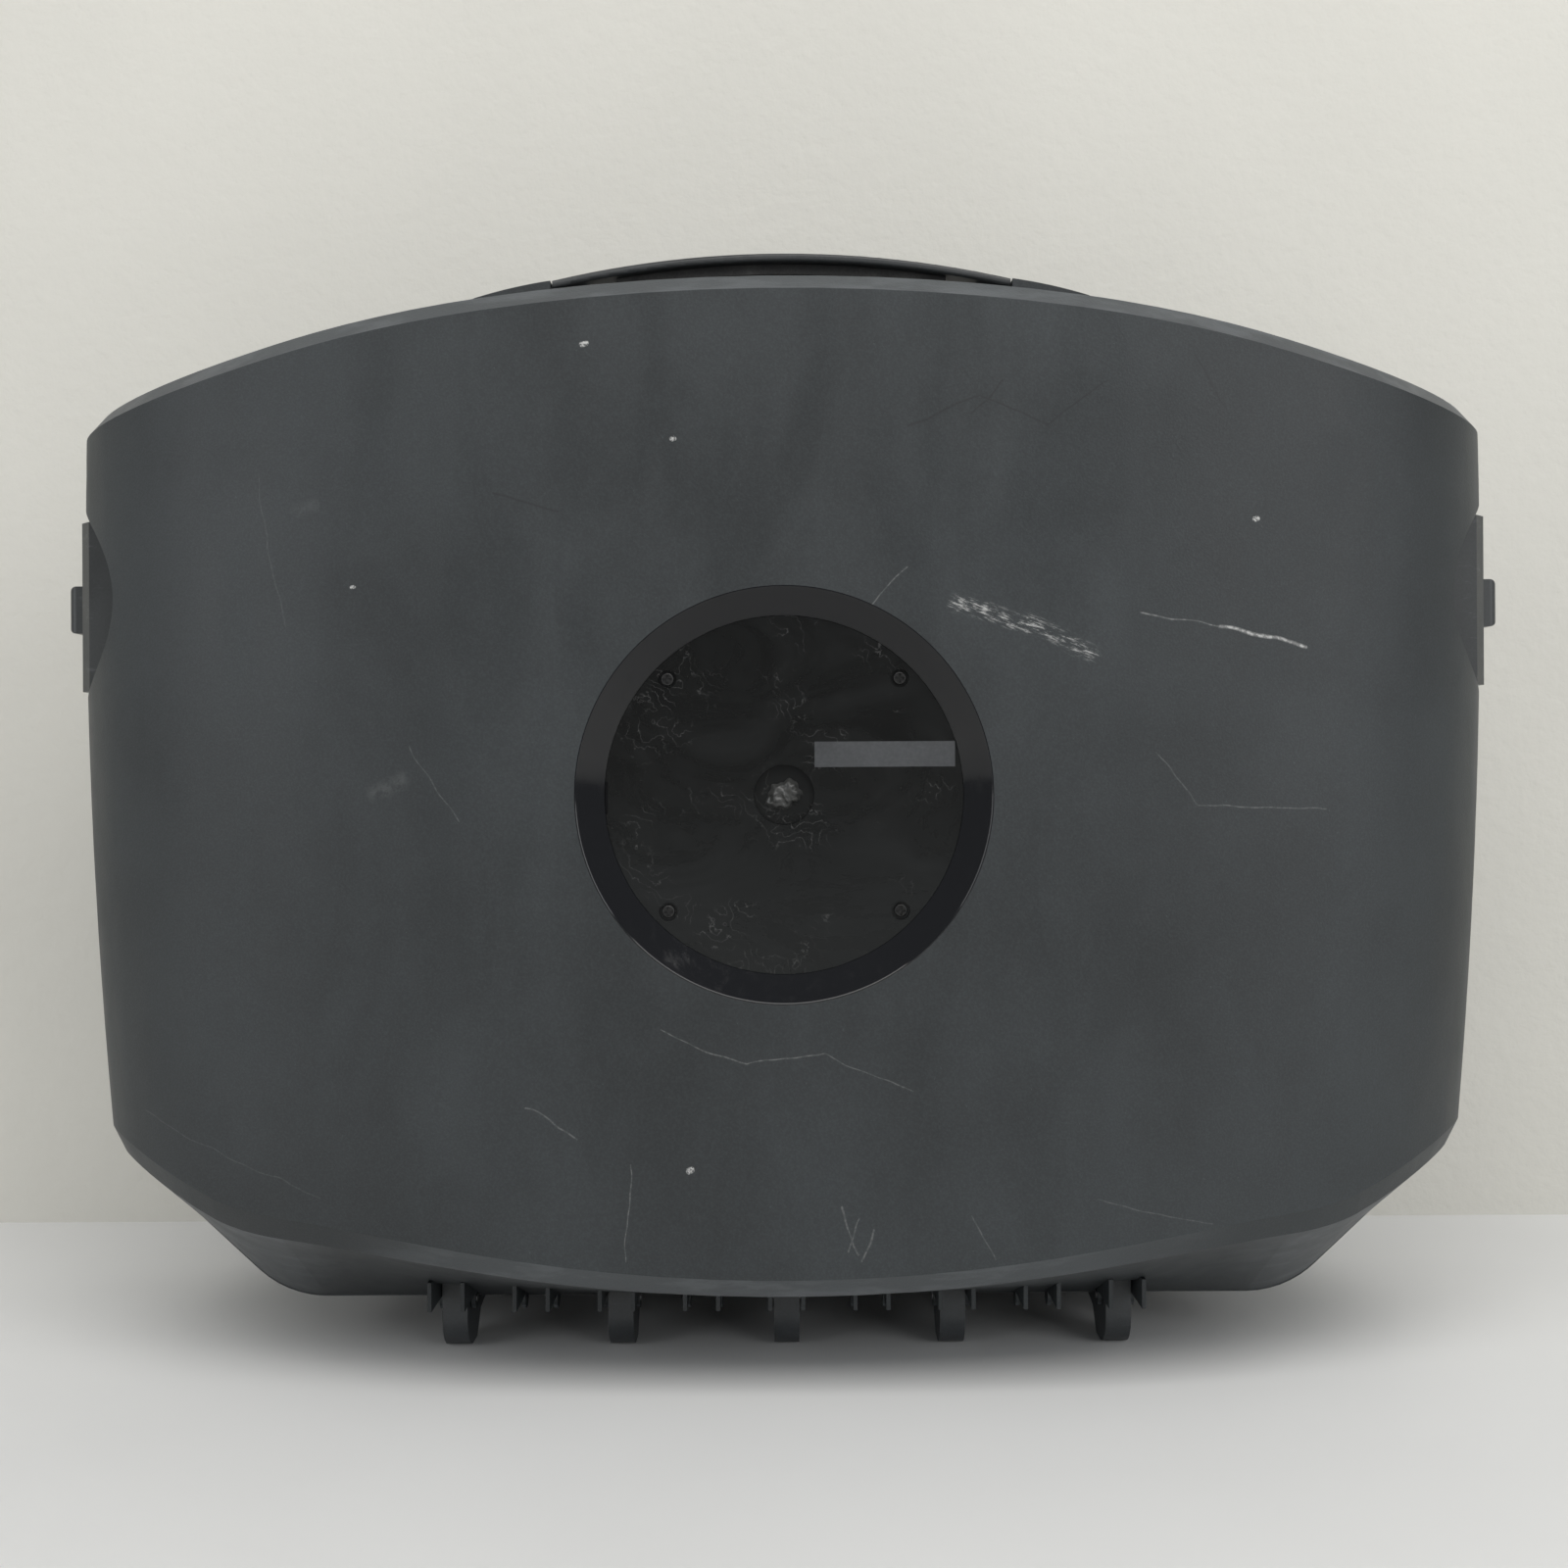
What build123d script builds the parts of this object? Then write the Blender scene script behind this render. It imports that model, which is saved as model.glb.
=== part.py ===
from build123d import *
import math
import os

# A hard-shell clamshell case with a screen and stereo speakers in its lid. It stands on its hinge hooks,
# lid toward -Y, X across, Z up. The pieces are drawn from the seam plane and moved by SEAM_Y when they
# are written, so that the origin is the bottom centre of the closed case.
WALL = 3.0
GAP = 0.2  # each half stays this far off the seam plane
LID_DEPTH = 70.0
BASE_DEPTH = 100.0
FOOT_HEIGHT = 4.0
SEAM_Y = (LID_DEPTH - BASE_DEPTH - FOOT_HEIGHT) / 2
HALF_WIDTH = 247.5
WIDEST_Z = 275.0
BARREL_RADIUS = 2190.0
CROWN_Z = 365.5
CROWN_RADIUS = 690.0
LID_CROWN_Z = 362.0
CROWN_BEND_X = 165.0
SMILE_Z = 35.8
SMILE_RADIUS = 550.0
BOTTOM_Z = 16.0
BASE_BACK_BOTTOM_Z = 20.0
BASE_BACK_CROWN_Z = 358.0
CORNER_X = 179.0
CORNER_RADIUS = 36.0
CORNER_ANGLE = 43.0
REACH = 275.0
EDGE_CHAMFER = 5.2
PLAN_HEIGHTS = (-20.0, 80.0, 180.0, 275.0, 330.0, 410.0)

AXIS_Y = -6.0
AXIS_Z = 17.2
PIN_RADIUS = 1.6
PIN_HALF = 6.6
FIN_PITCH = 29.1
FIN_SPREAD = 11.3
FIN_THICK = 1.4
FIN_RADIUS = 3.8
HOOK_WIDTH = 8.8
SLOT_HALF = 4.95
HOOK_SWEEP = 19.5
HOOK_PLACES = [n * FIN_PITCH for n in (-4, -2, 0, 2, 4)]

MEDALLION_Z = 195.5
RING_RADIUS = 66.8
DISC_RADIUS = 58.0
DISC_DEPTH = 8.0
SCREW_HALF = 37.5

LATCH_Z = 263.0
WELL_RADIUS = 35.5
WELL_FLOOR_X = 222.0
LATCH_FACE_X = 249.5

SCREEN_WIDTH = 408.0
SCREEN_HEIGHT = 230.0
SCREEN_Z = 206.0
FRAME_FRONT_Y = -3.0
FRAME_THICK = 3.0
SPEAKER_X = 122.0
CONTROL_Z = 57.0
SPEAKER_RADIUS = 20.0
CONE_RADIUS = 16.8
KEY_PITCH = 13.0
KEY_RADIUS = 4.0

BAND_END_X = 83.2
BAND_CROWN_Z = 391.7
BAND_END_Z = 382.2
BAND_THICK = 3.0
LEG_X = 76.0
HANDLE_FRONT_Y = 6.0
HANDLE_BACK_Y = 40.0
HANDLE_MID_Y = (HANDLE_FRONT_Y + HANDLE_BACK_Y) / 2

os.makedirs("parts", exist_ok=True)


def keep(name, shape):
    export_step(Pos(0, SEAM_Y, 0) * shape, f"parts/{name}.step")


def block(x0, x1, y0, y1, z0, z1):
    return Pos((x0 + x1) / 2, (y0 + y1) / 2, (z0 + z1) / 2) * Box(x1 - x0, y1 - y0, z1 - z0)


def rod_x(x0, x1, y, z, radius):
    return Pos((x0 + x1) / 2, y, z) * Rot(0, 90, 0) * Cylinder(radius, x1 - x0)


def rod_y(x, y0, y1, z, radius):
    return Pos(x, (y0 + y1) / 2, z) * Rot(90, 0, 0) * Cylinder(radius, y1 - y0)


def rod_z(x, y, z0, z1, radius):
    return Pos(x, y, (z0 + z1) / 2) * Cylinder(radius, z1 - z0)


# The case's outer form: a plan of flat front, elliptical sides and a barrel taper, cut by arched outlines.
def half_width(z):
    return HALF_WIDTH - (z - WIDEST_Z) ** 2 / (2 * BARREL_RADIUS)


def plan(z, inset, depth, round_x, round_y, side):
    wide = half_width(z) - inset
    rx = round_x - inset
    ry = round_y - inset
    start = side * (depth - round_y)
    cx = wide - rx
    turn = -90 * side
    with BuildSketch(Plane.XY.offset(z)) as sketch:
        with BuildLine():
            Line((-wide, -side), (-wide, start))
            EllipticalCenterArc((-cx, start), rx, ry, start_angle=180, arc_size=turn)
            Line((-cx, start + side * ry), (cx, start + side * ry))
            EllipticalCenterArc((cx, start), rx, ry, start_angle=90 * side, arc_size=turn)
            Line((wide, start), (wide, -side))
            Line((wide, -side), (-wide, -side))
        make_face()
    return sketch.sketch.faces()[0]


def arc_then_line(x, bend, radius):
    if x <= bend:
        return x * x / (2 * radius)
    slope = 1 / (radius / bend - bend / (4 * radius))
    return bend * bend / (2 * radius) + (x - bend) * slope


def smile(x, bend):
    # The lower outline of the face: an arc that rises faster beyond the bend.
    return arc_then_line(abs(x), bend, SMILE_RADIUS) + max(0.0, abs(x) - bend) ** 2 / 260


def outline(y, crown, floor, inset, smiling):
    angle = math.radians(CORNER_ANGLE)
    radius = CORNER_RADIUS - inset
    x1 = CORNER_X - CORNER_RADIUS * math.tan(angle / 2)
    x2 = x1 + radius * math.sin(angle)
    top = crown - inset
    top_bend = top - arc_then_line(CROWN_BEND_X, CROWN_BEND_X, CROWN_RADIUS)
    top_end = top - arc_then_line(REACH, CROWN_BEND_X, CROWN_RADIUS)
    low = floor + inset
    with BuildSketch(Plane.XZ.offset(-y)) as sketch:
        with BuildLine():
            if smiling:
                low_end = low + smile(REACH, x1)
                stops = [REACH, x2, x1, -x1, -x2, -REACH]
                for a, b in zip(stops, stops[1:]):
                    ThreePointArc(*[(x, low + smile(x, x1)) for x in (a, (a + b) / 2, b)])
            else:
                centre_z = floor + CORNER_RADIUS
                z2 = centre_z - radius * math.cos(angle)
                low_end = z2 + (REACH - x2) * math.tan(angle)
                mx = x1 + radius * math.sin(angle / 2)
                mz = centre_z - radius * math.cos(angle / 2)
                Line((REACH, low_end), (x2, z2))
                ThreePointArc((x2, z2), (mx, mz), (x1, low))
                Line((x1, low), (-x1, low))
                ThreePointArc((-x1, low), (-mx, mz), (-x2, z2))
                Line((-x2, z2), (-REACH, low_end))
            Polyline((-REACH, low_end), (-REACH, top_end), (-CROWN_BEND_X, top_bend))
            ThreePointArc((-CROWN_BEND_X, top_bend), (0, top), (CROWN_BEND_X, top_bend))
            Polyline((CROWN_BEND_X, top_bend), (REACH, top_end), (REACH, low_end))
        make_face()
    return sketch.sketch.faces()[0]


def lid_form(inset):
    front = outline(-LID_DEPTH, LID_CROWN_Z, SMILE_Z, inset, True)
    seam = outline(1, CROWN_Z, BOTTOM_Z, inset, False)
    plans = [plan(z, inset, LID_DEPTH, 150.0, 70.0, -1) for z in PLAN_HEIGHTS]
    return loft([front, seam], ruled=True) & loft(plans)


def base_form(inset):
    seam = outline(-1, CROWN_Z, BOTTOM_Z, inset, False)
    back = outline(BASE_DEPTH, BASE_BACK_CROWN_Z, BASE_BACK_BOTTOM_Z, inset, False)
    plans = [plan(z, inset, BASE_DEPTH, 60.0, 60.0, 1) for z in PLAN_HEIGHTS]
    return loft([seam, back], ruled=True) & loft(plans)


lid_outer = lid_form(0.0) & block(-300, 300, -LID_DEPTH - 1, -GAP, 0, 400)
lid_inner = lid_form(WALL)
base_outer = base_form(0.0) & block(-300, 300, GAP, BASE_DEPTH + 1, 0, 400)
base_inner = base_form(WALL)


def rim_edges(shape):
    # The arched edges above and below the face, out to the seam.
    runs = [e for e in shape.edges() if abs((e % 0.5).X) > 0.5 and (e @ 0.5).Y < -20]
    return [e for e in runs if e.length > 18]


def top_corner_edges(shape):
    sides = [e for e in shape.edges() if abs((e @ 0.5).X) > 200 and (e @ 0.5).Y > 5]
    return [e for e in sides if (e @ 0.5).Z > 300]


def side_pair(shape):
    return {"right": shape, "left": mirror(shape, Plane.YZ)}


def both_sides(shape):
    return [shape, mirror(shape, Plane.YZ)]


# The hinge: pairs of fins under the lid hold short pins, and hooks on the base carry them.
def fin_spans():
    centres = [n * FIN_PITCH + side * FIN_SPREAD / 2 for n in range(-4, 5) for side in (-1, 1)]
    return [(x - FIN_THICK / 2, x + FIN_THICK / 2) for x in centres]


def hinge_fins():
    fins = []
    for a, b in fin_spans():
        fins.append(rod_x(a, b, AXIS_Y, AXIS_Z, FIN_RADIUS))
        fins.append(block(a, b, AXIS_Y - FIN_RADIUS, AXIS_Y + FIN_RADIUS, AXIS_Z, AXIS_Z + 5))
        fins.append(block(a, b, AXIS_Y - 24, AXIS_Y, AXIS_Z + 2, AXIS_Z + 12) - lid_form(1.0))
    return fins


def hook_slots():
    return [rod_x(x - SLOT_HALF, x + SLOT_HALF, AXIS_Y, AXIS_Z, HOOK_SWEEP) for x in HOOK_PLACES]


def hinge_pins():
    return [rod_x(x - PIN_HALF, x + PIN_HALF, AXIS_Y, AXIS_Z, PIN_RADIUS) for x in HOOK_PLACES]


def hinge_hook(x):
    back, front = AXIS_Y + PIN_RADIUS + 0.05, AXIS_Y - PIN_RADIUS - 0.05
    outer = [(26, 18), (26, 10.5), (12, 8), (5, 0), (-14, 0), (-14, 27), (front, 27)]
    inner = [(front, AXIS_Z), (back, AXIS_Z), (back, AXIS_Z + 2), (-1, AXIS_Z + 4), (1, 18)]
    with BuildSketch(Plane.YZ) as sketch:
        with BuildLine():
            Polyline(*outer, *inner, close=True)
        make_face()
    solid = Pos(x - HOOK_WIDTH / 2, 0, 0) * extrude(sketch.sketch, HOOK_WIDTH)
    across = solid.edges().filter_by(Axis.X)
    solid = fillet([e for e in across if e.center().Y < -13 and e.center().Z < 1], 12.0)
    tips = [e for e in solid.edges().filter_by(Axis.X) if e.center().Z > 26]
    solid = fillet(tips, 2.5)
    solid -= rod_x(x - 10, x + 10, AXIS_Y, AXIS_Z, PIN_RADIUS + 0.05)
    return solid - base_outer


# The latch: a round well in both halves, a bevelled plate, a sprung button and a rocking hook.
def well_cut(x0):
    return rod_x(x0, 262, 0, LATCH_Z, WELL_RADIUS)


def well_cup(outer):
    cup = rod_x(WELL_FLOOR_X - 3, 256, 0, LATCH_Z, WELL_RADIUS + 2) - well_cut(WELL_FLOOR_X)
    return cup & outer


def latch_housing():
    plate = block(236, LATCH_FACE_X, -9, 30, LATCH_Z - 30, LATCH_Z + 30)
    bevel = [e for e in plate.edges().filter_by(Axis.Z) if (e @ 0.5).X > 240 and (e @ 0.5).Y < 0]
    plate = chamfer(bevel, 4.0)
    plate &= rod_x(220, 260, 0, LATCH_Z, WELL_RADIUS - 0.5)
    arms = [
        block(WELL_FLOOR_X, 236, 16, 26, LATCH_Z - 22, LATCH_Z + 22),
        block(227, 236, -5, 16, LATCH_Z + 12, LATCH_Z + 15),
        block(227, 236, -5, 16, LATCH_Z - 15, LATCH_Z - 12),
    ]
    nubs = [rod_x(LATCH_FACE_X - 1, LATCH_FACE_X + 1.4, 3, LATCH_Z + dz, 1.3) for dz in (-12, 12)]
    body = plate + arms + nubs
    body -= block(230, 262, 1.7, 14.3, LATCH_Z - 8.8, LATCH_Z + 8.8)
    return body - rod_z(231, -1, LATCH_Z - 20, LATCH_Z + 20, 1.25)


def latch_button():
    cap = block(240, LATCH_FACE_X + 8.1, 2, 14, LATCH_Z - 8.5, LATCH_Z + 8.5)
    cap = fillet([e for e in cap.edges() if (e @ 0.5).X > 251], 3.0)
    return cap + block(233.6, 240, 9, 13.5, LATCH_Z - 4, LATCH_Z + 4)


def latch_hook():
    arm = block(229.5, 232.5, -20, 14.5, LATCH_Z - 8, LATCH_Z + 8)
    lip = block(226.7, 229.5, -20, -17, LATCH_Z - 8, LATCH_Z + 8)
    hub = rod_z(231, -1, LATCH_Z - 8, LATCH_Z + 8, 3.0)
    return arm + lip + hub - rod_z(231, -1, LATCH_Z - 9, LATCH_Z + 9, 1.26)


for side, shape in side_pair(latch_housing()).items():
    keep(f"latch_housing_{side}", shape)
for side, shape in side_pair(rod_z(231, -1, LATCH_Z - 15, LATCH_Z + 15, 1.2)).items():
    keep(f"latch_pin_{side}", shape)
for side, shape in side_pair(latch_button()).items():
    keep(f"latch_button_{side}", shape)
for side, shape in side_pair(latch_hook()).items():
    keep(f"latch_hook_{side}", shape)


# The lid's shell: hollow, with the medallion's hole, the wells, keeper bars, fins and hook slots.
def lid_shell():
    shell = chamfer(rim_edges(lid_outer), EDGE_CHAMFER) - lid_inner
    shell -= rod_y(0, -LID_DEPTH - 1, 6 - LID_DEPTH, MEDALLION_Z, RING_RADIUS)
    for cut in both_sides(well_cut(WELL_FLOOR_X)):
        shell -= cut
    shell += both_sides(well_cup(lid_outer))
    keeper = block(WELL_FLOOR_X, 226, -16, -13, LATCH_Z - 7, LATCH_Z + 7)
    shell += both_sides(keeper)
    shell -= hook_slots()
    fins = hinge_fins()
    shell += fins
    shell -= hinge_pins()
    return shell & block(-300, 300, -LID_DEPTH - 1, -GAP, 0, 400)


keep("lid_shell", lid_shell())
keep("hinge_pins", Compound(hinge_pins()))
for number, x in enumerate(HOOK_PLACES, 1):
    keep(f"hinge_hook_{number}", hinge_hook(x))


# The medallion: a dished ring, a disc with four screws, a broken stake and a blank label strip.
def medallion_ring():
    front = -LID_DEPTH
    back = front + DISC_DEPTH
    with BuildSketch(Plane.XY) as sketch:
        with BuildLine():
            Polyline((RING_RADIUS, front), (RING_RADIUS, back + 3), (DISC_RADIUS - 3, back + 3))
            Polyline((DISC_RADIUS - 3, back + 3), (DISC_RADIUS - 3, back + 2), (DISC_RADIUS, back + 2))
            Line((DISC_RADIUS, back + 2), (DISC_RADIUS, back))
            Polyline((DISC_RADIUS, back), (RING_RADIUS - 0.6, front + 0.2), (RING_RADIUS - 0.3, front))
            Line((RING_RADIUS - 0.3, front), (RING_RADIUS, front))
        make_face()
    return Pos(0, 0, MEDALLION_Z) * revolve(sketch.sketch, Axis.Y)


def screw_spots():
    return [(sx * SCREW_HALF, MEDALLION_Z + sz * SCREW_HALF) for sz in (-1, 1) for sx in (-1, 1)]


DISC_Y = -LID_DEPTH + DISC_DEPTH


def medallion_plate():
    disc = rod_y(0, DISC_Y, DISC_Y + 2, MEDALLION_Z, DISC_RADIUS - 0.15)
    disc += rod_y(0, DISC_Y + 2, DISC_Y + 4, MEDALLION_Z, 14)
    disc -= rod_y(0, DISC_Y, DISC_Y + 2.2, MEDALLION_Z, 9.8)
    for x, z in screw_spots():
        disc -= rod_y(x, DISC_Y - 1, DISC_Y + 1.2, z, 3.0)
        disc -= rod_y(x, DISC_Y, DISC_Y + 3, z, 1.1)
    return disc - block(-DISC_RADIUS, 1.2 - DISC_RADIUS, DISC_Y - 1, DISC_Y + 3, 189.5, 200)


def medallion_screw(x, z):
    head = fillet(rod_y(x, DISC_Y + 0.1, DISC_Y + 1.2, z, 2.1).edges().group_by(Axis.Y)[0], 0.5)
    cross = block(x - 1.5, x + 1.5, DISC_Y, DISC_Y + 0.8, z - 0.42, z + 0.42)
    cross += block(x - 0.42, x + 0.42, DISC_Y, DISC_Y + 0.8, z - 1.5, z + 1.5)
    return head - cross + rod_y(x, DISC_Y + 1.2, DISC_Y + 8, z, 1.05)


def medallion_stake():
    stub = rod_y(0, DISC_Y + 0.4, DISC_Y + 2.2, MEDALLION_Z, 5.4)
    return fillet(stub.edges().group_by(Axis.Y)[0], 0.8)


keep("medallion_ring", medallion_ring())
keep("medallion_plate", medallion_plate())
for number, (x, z) in enumerate(screw_spots(), 1):
    keep(f"medallion_screw_{number}", medallion_screw(x, z))
keep("medallion_stake", medallion_stake())
keep("blank_label", block(9.9, 55.2, DISC_Y - 0.2, DISC_Y, 204.4, 212.6))


# Inside the lid: a frame round the screen, the panel, its glass, a board, two speakers, keys and jacks.
FRAME_BACK_Y = FRAME_FRONT_Y - FRAME_THICK
KEY_NAMES = ("power", "source", "menu", "down", "up")
JACK_X = (-56.0, -68.0)
LIGHT_X = 46.0


def screen_block(grow, y0, y1):
    half_x = SCREEN_WIDTH / 2 + grow
    half_z = SCREEN_HEIGHT / 2 + grow
    return block(-half_x, half_x, y0, y1, SCREEN_Z - half_z, SCREEN_Z + half_z)


def key_x(number):
    return (number - 2) * KEY_PITCH


def lid_frame():
    frame = lid_inner & block(-300, 300, FRAME_BACK_Y, FRAME_FRONT_Y, 0, 400)
    frame -= screen_block(0, -20, 5)
    for cut in both_sides(well_cut(WELL_FLOOR_X - 3.5)):
        frame -= cut
    for x in (-SPEAKER_X, SPEAKER_X):
        frame -= rod_y(x, -20, 5, CONTROL_Z, SPEAKER_RADIUS + 2)
    for number in range(5):
        frame -= rod_y(key_x(number), -20, 5, CONTROL_Z, KEY_RADIUS + 0.3)
    for x in JACK_X:
        frame -= rod_y(x, -20, 5, CONTROL_Z, 1.8)
    frame -= rod_y(LIGHT_X, -20, 5, CONTROL_Z, 1.5)
    frame -= hook_slots()
    frame -= [block(fin[0], fin[1], AXIS_Y - 5, AXIS_Y + 5, AXIS_Z, AXIS_Z + 9) for fin in fin_spans()]
    return frame - both_sides(rod_x(WELL_FLOOR_X - 4, 256, 0, LATCH_Z, WELL_RADIUS + 2.3))


def speaker(x):
    rim = rod_y(x, FRAME_BACK_Y - 2, FRAME_BACK_Y, CONTROL_Z, SPEAKER_RADIUS + 4)
    taper = Pos(x, FRAME_BACK_Y - 7, CONTROL_Z) * Rot(90, 0, 0) * Cone(SPEAKER_RADIUS + 1, 13, 10)
    basket = rim + taper
    basket += rod_y(x, FRAME_BACK_Y - 19, FRAME_BACK_Y - 12, CONTROL_Z, 13)
    return basket - rod_y(x, FRAME_BACK_Y - 5, FRAME_BACK_Y + 1, CONTROL_Z, CONE_RADIUS)


def speaker_cone(x):
    cone = rod_y(x, FRAME_BACK_Y - 5, FRAME_BACK_Y - 2.5, CONTROL_Z, CONE_RADIUS)
    dish = Pos(x, FRAME_BACK_Y + 6, CONTROL_Z) * Sphere(11)
    return cone - dish + Pos(x, FRAME_BACK_Y - 5, CONTROL_Z) * (Sphere(3.4) & Pos(0, 3, 0) * Box(8, 6, 8))


def grille(x):
    plate = rod_y(x, FRAME_FRONT_Y - 1.2, FRAME_FRONT_Y - 0.2, CONTROL_Z, SPEAKER_RADIUS + 1.9)
    pitch = 5.0
    holes = []
    for row in range(-3, 4):
        for col in range(-4, 5):
            dx = (col + 0.5 * (row % 2)) * pitch
            dz = row * pitch * 0.866
            if math.hypot(dx, dz) < SPEAKER_RADIUS - 1:
                holes.append(rod_y(x + dx, -10, 0, CONTROL_Z + dz, 1.8))
    return plate - holes


def control_key(number):
    x = key_x(number)
    cap = rod_y(x, FRAME_BACK_Y - 2.5, FRAME_FRONT_Y + 1.4, CONTROL_Z, KEY_RADIUS)
    cap = fillet(cap.edges().group_by(Axis.Y)[-1], 0.6)
    return cap + rod_y(x, FRAME_BACK_Y - 4.0, FRAME_BACK_Y - 1.2, CONTROL_Z, KEY_RADIUS + 1.4)


def jack_block():
    body = block(-74, -50, FRAME_BACK_Y - 14, FRAME_BACK_Y, CONTROL_Z - 5, CONTROL_Z + 5)
    for x in JACK_X:
        body -= rod_y(x, FRAME_BACK_Y - 13, FRAME_BACK_Y + 1, CONTROL_Z, 1.8)
    return body


keep("lid_frame", lid_frame())
keep("lcd_panel", screen_block(5, FRAME_BACK_Y - 11, FRAME_BACK_Y))
keep("screen_glass", screen_block(-0.2, FRAME_BACK_Y, FRAME_FRONT_Y - 1))
board = block(-90, 90, FRAME_BACK_Y - 20, FRAME_BACK_Y - 18, 130, 260)
board += [block(x, x + 18, FRAME_BACK_Y - 26, FRAME_BACK_Y - 20, z, z + 18) for x in (-70, 20) for z in (150, 210)]
board += [rod_y(x, FRAME_BACK_Y - 18, FRAME_BACK_Y - 11, z, 3) for x in (-80, 80) for z in (140, 250)]
keep("driver_board", board)
for side, x in (("left", -SPEAKER_X), ("right", SPEAKER_X)):
    keep(f"speaker_{side}", speaker(x))
    keep(f"speaker_cone_{side}", speaker_cone(x))
    keep(f"speaker_grille_{side}", grille(x))
for number, name in enumerate(KEY_NAMES):
    keep(f"key_{name}", control_key(number))
keep("headphone_jacks", jack_block())
keep("status_light", rod_y(LIGHT_X, FRAME_BACK_Y - 2, FRAME_FRONT_Y + 0.3, CONTROL_Z, 1.5))


# The base: a deep tray with vents, feet, a foam pad, two straps and a power inlet.
INLET_X = 150.0
INLET_Z = 62.0
COLLAR = (66.0, 86.0, 8.0, 38.0)


def base_shell():
    shell = fillet(top_corner_edges(base_outer), 8.0) - base_inner
    for cut in both_sides(well_cut(WELL_FLOOR_X)):
        shell -= cut
    shell += both_sides(well_cup(base_outer))
    for column in range(-7, 8):
        for z in (110, 270):
            shell -= block(column * 12 - 2, column * 12 + 2, 90, 105, z - 22, z + 22)
    shell -= block(INLET_X - 12, INLET_X + 12, 90, 105, INLET_Z - 8, INLET_Z + 8)
    x0, x1, y0, y1 = COLLAR
    shell -= both_sides(block(x0, x1, y0, y1, 345, 380))
    return shell


def power_inlet():
    body = block(INLET_X - 12, INLET_X + 12, 78, 100.8, INLET_Z - 8, INLET_Z + 8)
    body -= block(INLET_X - 9, INLET_X + 9, 84, 102, INLET_Z - 5, INLET_Z + 5)
    return body + [rod_y(INLET_X + dx, 83, 96, INLET_Z, 1.2) for dx in (-4.3, 4.3)]


def back_foot(x, z):
    foot = rod_y(x, BASE_DEPTH, BASE_DEPTH + FOOT_HEIGHT, z, 11)
    return fillet(foot.edges().group_by(Axis.Y)[-1], 1.5)


def stand_foot(x):
    foot = block(x - 24, x + 24, 64, 88, 0, 22)
    foot = fillet(foot.edges().group_by(Axis.Z)[0], 2.0)
    return foot - base_outer


def strap(x):
    band = block(x - 14, x + 14, 88.0, 90.0, 60, 320)
    tabs = [block(x - 14, x + 14, 90.0, 96.9, z, z + 8) for z in (60, 312)]
    buckle = block(x - 19, x + 19, 85.0, 88.0, 176, 208) - block(x - 12, x + 12, 84, 89, 184, 189)
    return band + tabs + (buckle - block(x - 12, x + 12, 84, 89, 195, 200))


keep("base_shell", base_shell())
keep("power_inlet", power_inlet())
for number, (x, z) in enumerate([(-165, 95), (165, 95), (-165, 300), (165, 300)], 1):
    keep(f"back_foot_{number}", back_foot(x, z))
keep("stand_foot_left", stand_foot(-100))
keep("stand_foot_right", stand_foot(100))
pad = block(-174, 174, 91.5, 96.8, 72, 308)
pad -= [block(x - 15, x + 15, 91, 97, 50, 350) for x in (-95, 95)]
for number, piece in enumerate(sorted(pad.solids(), key=lambda s: s.center().X), 1):
    keep(f"foam_pad_{number}", piece)
keep("strap_left", strap(-95))
keep("strap_right", strap(95))
gasket = (base_inner & block(-300, 300, GAP, 3.4, 0, 400)) - base_form(WALL + 2.5)
gasket -= both_sides(rod_x(WELL_FLOOR_X - 6, 262, 0, LATCH_Z, WELL_RADIUS + 2.1))
keep("seam_gasket", gasket)


# The carry handle lifts out of two mounts on the base's top.
def arch(x_half, z_mid, z_end, thick, y0, y1):
    with BuildSketch(Plane.XZ) as sketch:
        with BuildLine():
            ThreePointArc((-x_half, z_end), (0, z_mid), (x_half, z_end))
            Line((x_half, z_end), (x_half, z_end - thick))
            ThreePointArc((x_half, z_end - thick), (0, z_mid - thick), (-x_half, z_end - thick))
            Line((-x_half, z_end - thick), (-x_half, z_end))
        make_face()
    return Pos(0, y1, 0) * extrude(sketch.sketch, y1 - y0)


def handle_mount():
    with BuildSketch(Plane.XZ) as sketch:
        with BuildLine():
            Line((83.6, 345), (83.6, 381.4))
            ThreePointArc((83.6, 381.4), (98, 378.7), (111, 375.2))
            Polyline((111, 375.2), (126, 367.5), (144, 350), (144, 345), (83.6, 345))
        make_face()
    shoulder = Pos(0, HANDLE_BACK_Y + 2, 0) * extrude(sketch.sketch, HANDLE_BACK_Y + 2 - 4)
    x0, x1, y0, y1 = COLLAR
    mount = shoulder - base_outer - base_inner + block(x0, x1, y0, y1, 330, 366)
    return mount - block(LEG_X - 5.2, LEG_X + 5.2, HANDLE_MID_Y - 12.2, HANDLE_MID_Y + 12.2, 300, 400)


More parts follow.
